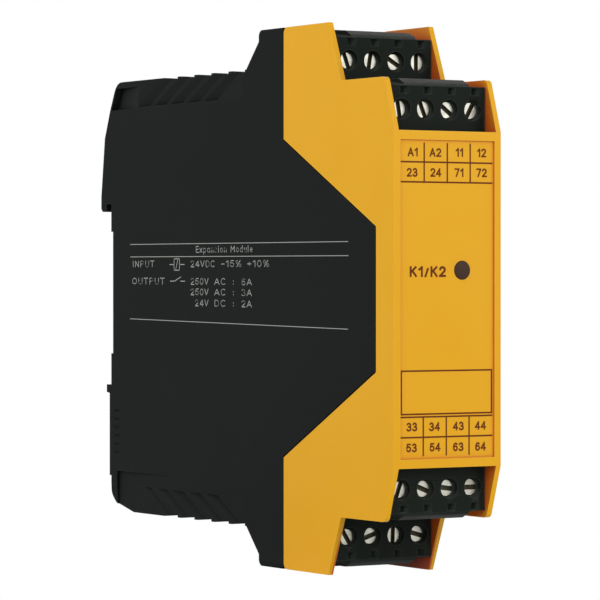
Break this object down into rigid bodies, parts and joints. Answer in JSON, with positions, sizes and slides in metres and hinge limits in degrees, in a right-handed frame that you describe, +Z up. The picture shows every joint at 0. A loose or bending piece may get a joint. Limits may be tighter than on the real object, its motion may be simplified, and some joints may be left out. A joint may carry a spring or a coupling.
{
  "type": "contact expansion module",
  "caption": "Slim rail-mounted module with a stepped yellow front cap over a black housing, pluggable screw terminals at both ends, a status lamp and a sprung rail foot.",
  "frame": {"origin": "middle of the rail seat, level with the rail's centre line", "axes": "+Y toward the mounting rail, label face toward -Y, +Z up, X along the rail"},
  "size_m": [0.0226, 0.1079, 0.099],
  "materials": {
    "housing_black": "fine spark-eroded moulding",
    "cover_yellow": "fine spark-eroded moulding",
    "lens_smoke": "smooth, tinted",
    "lamp_clear": "smooth",
    "board_green": "solder resist",
    "parts_grey": "moulded",
    "spring_steel": "drawn wire",
    "relay_base_black": "moulded",
    "relay_cover_white": "moulded",
    "plug_black": "moulded",
    "header_black": "moulded",
    "contact_tin": "tin plate",
    "screw_steel": "zinc plate",
    "cage_steel": "zinc plate"
  },
  "bodies": {
    "module": {"rear_housing": "housing_black", "front_cover": "cover_yellow", "status_lens": "lens_smoke", "status_lamp": "lamp_clear", "main_board": "board_green", "board_parts": "parts_grey", "foot_spring": "spring_steel", "relay_1_base": "relay_base_black", "relay_1_cover": "relay_cover_white", "relay_2_base": "relay_base_black", "relay_2_cover": "relay_cover_white", "header_upper_front": "header_black", "pins_upper_front": "contact_tin", "header_upper_rear": "header_black", "pins_upper_rear": "contact_tin", "header_lower_front": "header_black", "pins_lower_front": "contact_tin", "header_lower_rear": "header_black", "pins_lower_rear": "contact_tin"},
    "rail_foot": {"rail_foot": "housing_black"},
    "plug_upper_front": {"plug_upper_front": "plug_black", "contacts_upper_front": "contact_tin"},
    "screw_upper_front_1": {"screw_upper_front_1": "screw_steel"},
    "cage_upper_front_1": {"cage_upper_front_1": "cage_steel"},
    "screw_upper_front_2": {"screw_upper_front_2": "screw_steel"},
    "cage_upper_front_2": {"cage_upper_front_2": "cage_steel"},
    "screw_upper_front_3": {"screw_upper_front_3": "screw_steel"},
    "cage_upper_front_3": {"cage_upper_front_3": "cage_steel"},
    "screw_upper_front_4": {"screw_upper_front_4": "screw_steel"},
    "cage_upper_front_4": {"cage_upper_front_4": "cage_steel"},
    "plug_upper_rear": {"plug_upper_rear": "plug_black", "contacts_upper_rear": "contact_tin"},
    "screw_upper_rear_1": {"screw_upper_rear_1": "screw_steel"},
    "cage_upper_rear_1": {"cage_upper_rear_1": "cage_steel"},
    "screw_upper_rear_2": {"screw_upper_rear_2": "screw_steel"},
    "cage_upper_rear_2": {"cage_upper_rear_2": "cage_steel"},
    "screw_upper_rear_3": {"screw_upper_rear_3": "screw_steel"},
    "cage_upper_rear_3": {"cage_upper_rear_3": "cage_steel"},
    "screw_upper_rear_4": {"screw_upper_rear_4": "screw_steel"},
    "cage_upper_rear_4": {"cage_upper_rear_4": "cage_steel"},
    "plug_lower_front": {"plug_lower_front": "plug_black", "contacts_lower_front": "contact_tin"},
    "screw_lower_front_1": {"screw_lower_front_1": "screw_steel"},
    "cage_lower_front_1": {"cage_lower_front_1": "cage_steel"},
    "screw_lower_front_2": {"screw_lower_front_2": "screw_steel"},
    "cage_lower_front_2": {"cage_lower_front_2": "cage_steel"},
    "screw_lower_front_3": {"screw_lower_front_3": "screw_steel"},
    "cage_lower_front_3": {"cage_lower_front_3": "cage_steel"},
    "screw_lower_front_4": {"screw_lower_front_4": "screw_steel"},
    "cage_lower_front_4": {"cage_lower_front_4": "cage_steel"},
    "plug_lower_rear": {"plug_lower_rear": "plug_black", "contacts_lower_rear": "contact_tin"},
    "screw_lower_rear_1": {"screw_lower_rear_1": "screw_steel"},
    "cage_lower_rear_1": {"cage_lower_rear_1": "cage_steel"},
    "screw_lower_rear_2": {"screw_lower_rear_2": "screw_steel"},
    "cage_lower_rear_2": {"cage_lower_rear_2": "cage_steel"},
    "screw_lower_rear_3": {"screw_lower_rear_3": "screw_steel"},
    "cage_lower_rear_3": {"cage_lower_rear_3": "cage_steel"},
    "screw_lower_rear_4": {"screw_lower_rear_4": "screw_steel"},
    "cage_lower_rear_4": {"cage_lower_rear_4": "cage_steel"}
  },
  "joints": [
    {"name": "rail_foot_slide", "type": "slide", "parent": "module", "child": "rail_foot", "axis": [0, 0, -1], "range_m": [0, 0.0032], "stiffness_N_per_m": 900, "springref_m": -0.0012, "deforming": ["foot_spring"]},
    {"name": "plug_upper_front_pull", "type": "slide", "parent": "module", "child": "plug_upper_front", "axis": [0, 0, 1], "range_m": [0, 0.012]},
    {"name": "screw_upper_front_1_turn", "type": "hinge", "parent": "plug_upper_front", "child": "screw_upper_front_1", "pos_m": [-0.0075, -0.0984, 0.0326], "axis": [0, 1, 0], "range_deg": [0, 2010]},
    {"name": "cage_upper_front_1_lift", "type": "slide", "parent": "plug_upper_front", "child": "cage_upper_front_1", "axis": [0, -1, 0], "range_m": [0, 0.0025]},
    {"name": "screw_upper_front_2_turn", "type": "hinge", "parent": "plug_upper_front", "child": "screw_upper_front_2", "pos_m": [-0.0025, -0.0984, 0.0326], "axis": [0, 1, 0], "range_deg": [0, 2010]},
    {"name": "cage_upper_front_2_lift", "type": "slide", "parent": "plug_upper_front", "child": "cage_upper_front_2", "axis": [0, -1, 0], "range_m": [0, 0.0025]},
    {"name": "screw_upper_front_3_turn", "type": "hinge", "parent": "plug_upper_front", "child": "screw_upper_front_3", "pos_m": [0.0025, -0.0984, 0.0326], "axis": [0, 1, 0], "range_deg": [0, 2010]},
    {"name": "cage_upper_front_3_lift", "type": "slide", "parent": "plug_upper_front", "child": "cage_upper_front_3", "axis": [0, -1, 0], "range_m": [0, 0.0025]},
    {"name": "screw_upper_front_4_turn", "type": "hinge", "parent": "plug_upper_front", "child": "screw_upper_front_4", "pos_m": [0.0075, -0.0984, 0.0326], "axis": [0, 1, 0], "range_deg": [0, 2010]},
    {"name": "cage_upper_front_4_lift", "type": "slide", "parent": "plug_upper_front", "child": "cage_upper_front_4", "axis": [0, -1, 0], "range_m": [0, 0.0025]},
    {"name": "plug_upper_rear_pull", "type": "slide", "parent": "module", "child": "plug_upper_rear", "axis": [0, 0, 1], "range_m": [0, 0.012]},
    {"name": "screw_upper_rear_1_turn", "type": "hinge", "parent": "plug_upper_rear", "child": "screw_upper_rear_1", "pos_m": [-0.0075, -0.0811, 0.042], "axis": [0, 1, 0], "range_deg": [0, 2010]},
    {"name": "cage_upper_rear_1_lift", "type": "slide", "parent": "plug_upper_rear", "child": "cage_upper_rear_1", "axis": [0, -1, 0], "range_m": [0, 0.0025]},
    {"name": "screw_upper_rear_2_turn", "type": "hinge", "parent": "plug_upper_rear", "child": "screw_upper_rear_2", "pos_m": [-0.0025, -0.0811, 0.042], "axis": [0, 1, 0], "range_deg": [0, 2010]},
    {"name": "cage_upper_rear_2_lift", "type": "slide", "parent": "plug_upper_rear", "child": "cage_upper_rear_2", "axis": [0, -1, 0], "range_m": [0, 0.0025]},
    {"name": "screw_upper_rear_3_turn", "type": "hinge", "parent": "plug_upper_rear", "child": "screw_upper_rear_3", "pos_m": [0.0025, -0.0811, 0.042], "axis": [0, 1, 0], "range_deg": [0, 2010]},
    {"name": "cage_upper_rear_3_lift", "type": "slide", "parent": "plug_upper_rear", "child": "cage_upper_rear_3", "axis": [0, -1, 0], "range_m": [0, 0.0025]},
    {"name": "screw_upper_rear_4_turn", "type": "hinge", "parent": "plug_upper_rear", "child": "screw_upper_rear_4", "pos_m": [0.0075, -0.0811, 0.042], "axis": [0, 1, 0], "range_deg": [0, 2010]},
    {"name": "cage_upper_rear_4_lift", "type": "slide", "parent": "plug_upper_rear", "child": "cage_upper_rear_4", "axis": [0, -1, 0], "range_m": [0, 0.0025]},
    {"name": "plug_lower_front_pull", "type": "slide", "parent": "module", "child": "plug_lower_front", "axis": [0, 0, -1], "range_m": [0, 0.012]},
    {"name": "screw_lower_front_1_turn", "type": "hinge", "parent": "plug_lower_front", "child": "screw_lower_front_1", "pos_m": [-0.0075, -0.0984, -0.0342], "axis": [0, 1, 0], "range_deg": [0, 2010]},
    {"name": "cage_lower_front_1_lift", "type": "slide", "parent": "plug_lower_front", "child": "cage_lower_front_1", "axis": [0, -1, 0], "range_m": [0, 0.0025]},
    {"name": "screw_lower_front_2_turn", "type": "hinge", "parent": "plug_lower_front", "child": "screw_lower_front_2", "pos_m": [-0.0025, -0.0984, -0.0342], "axis": [0, 1, 0], "range_deg": [0, 2010]},
    {"name": "cage_lower_front_2_lift", "type": "slide", "parent": "plug_lower_front", "child": "cage_lower_front_2", "axis": [0, -1, 0], "range_m": [0, 0.0025]},
    {"name": "screw_lower_front_3_turn", "type": "hinge", "parent": "plug_lower_front", "child": "screw_lower_front_3", "pos_m": [0.0025, -0.0984, -0.0342], "axis": [0, 1, 0], "range_deg": [0, 2010]},
    {"name": "cage_lower_front_3_lift", "type": "slide", "parent": "plug_lower_front", "child": "cage_lower_front_3", "axis": [0, -1, 0], "range_m": [0, 0.0025]},
    {"name": "screw_lower_front_4_turn", "type": "hinge", "parent": "plug_lower_front", "child": "screw_lower_front_4", "pos_m": [0.0075, -0.0984, -0.0342], "axis": [0, 1, 0], "range_deg": [0, 2010]},
    {"name": "cage_lower_front_4_lift", "type": "slide", "parent": "plug_lower_front", "child": "cage_lower_front_4", "axis": [0, -1, 0], "range_m": [0, 0.0025]},
    {"name": "plug_lower_rear_pull", "type": "slide", "parent": "module", "child": "plug_lower_rear", "axis": [0, 0, -1], "range_m": [0, 0.012]},
    {"name": "screw_lower_rear_1_turn", "type": "hinge", "parent": "plug_lower_rear", "child": "screw_lower_rear_1", "pos_m": [-0.0075, -0.0811, -0.0436], "axis": [0, 1, 0], "range_deg": [0, 2010]},
    {"name": "cage_lower_rear_1_lift", "type": "slide", "parent": "plug_lower_rear", "child": "cage_lower_rear_1", "axis": [0, -1, 0], "range_m": [0, 0.0025]},
    {"name": "screw_lower_rear_2_turn", "type": "hinge", "parent": "plug_lower_rear", "child": "screw_lower_rear_2", "pos_m": [-0.0025, -0.0811, -0.0436], "axis": [0, 1, 0], "range_deg": [0, 2010]},
    {"name": "cage_lower_rear_2_lift", "type": "slide", "parent": "plug_lower_rear", "child": "cage_lower_rear_2", "axis": [0, -1, 0], "range_m": [0, 0.0025]},
    {"name": "screw_lower_rear_3_turn", "type": "hinge", "parent": "plug_lower_rear", "child": "screw_lower_rear_3", "pos_m": [0.0025, -0.0811, -0.0436], "axis": [0, 1, 0], "range_deg": [0, 2010]},
    {"name": "cage_lower_rear_3_lift", "type": "slide", "parent": "plug_lower_rear", "child": "cage_lower_rear_3", "axis": [0, -1, 0], "range_m": [0, 0.0025]},
    {"name": "screw_lower_rear_4_turn", "type": "hinge", "parent": "plug_lower_rear", "child": "screw_lower_rear_4", "pos_m": [0.0075, -0.0811, -0.0436], "axis": [0, 1, 0], "range_deg": [0, 2010]},
    {"name": "cage_lower_rear_4_lift", "type": "slide", "parent": "plug_lower_rear", "child": "cage_lower_rear_4", "axis": [0, -1, 0], "range_m": [0, 0.0025]}
  ],
  "couplings": [
    {"joint": "screw_upper_front_1_turn", "follows": "cage_upper_front_1_lift", "rad_per_m": 13963},
    {"joint": "screw_upper_front_2_turn", "follows": "cage_upper_front_2_lift", "rad_per_m": 13963},
    {"joint": "screw_upper_front_3_turn", "follows": "cage_upper_front_3_lift", "rad_per_m": 13963},
    {"joint": "screw_upper_front_4_turn", "follows": "cage_upper_front_4_lift", "rad_per_m": 13963},
    {"joint": "screw_upper_rear_1_turn", "follows": "cage_upper_rear_1_lift", "rad_per_m": 13963},
    {"joint": "screw_upper_rear_2_turn", "follows": "cage_upper_rear_2_lift", "rad_per_m": 13963},
    {"joint": "screw_upper_rear_3_turn", "follows": "cage_upper_rear_3_lift", "rad_per_m": 13963},
    {"joint": "screw_upper_rear_4_turn", "follows": "cage_upper_rear_4_lift", "rad_per_m": 13963},
    {"joint": "screw_lower_front_1_turn", "follows": "cage_lower_front_1_lift", "rad_per_m": 13963},
    {"joint": "screw_lower_front_2_turn", "follows": "cage_lower_front_2_lift", "rad_per_m": 13963},
    {"joint": "screw_lower_front_3_turn", "follows": "cage_lower_front_3_lift", "rad_per_m": 13963},
    {"joint": "screw_lower_front_4_turn", "follows": "cage_lower_front_4_lift", "rad_per_m": 13963},
    {"joint": "screw_lower_rear_1_turn", "follows": "cage_lower_rear_1_lift", "rad_per_m": 13963},
    {"joint": "screw_lower_rear_2_turn", "follows": "cage_lower_rear_2_lift", "rad_per_m": 13963},
    {"joint": "screw_lower_rear_3_turn", "follows": "cage_lower_rear_3_lift", "rad_per_m": 13963},
    {"joint": "screw_lower_rear_4_turn", "follows": "cage_lower_rear_4_lift", "rad_per_m": 13963}
  ]
}
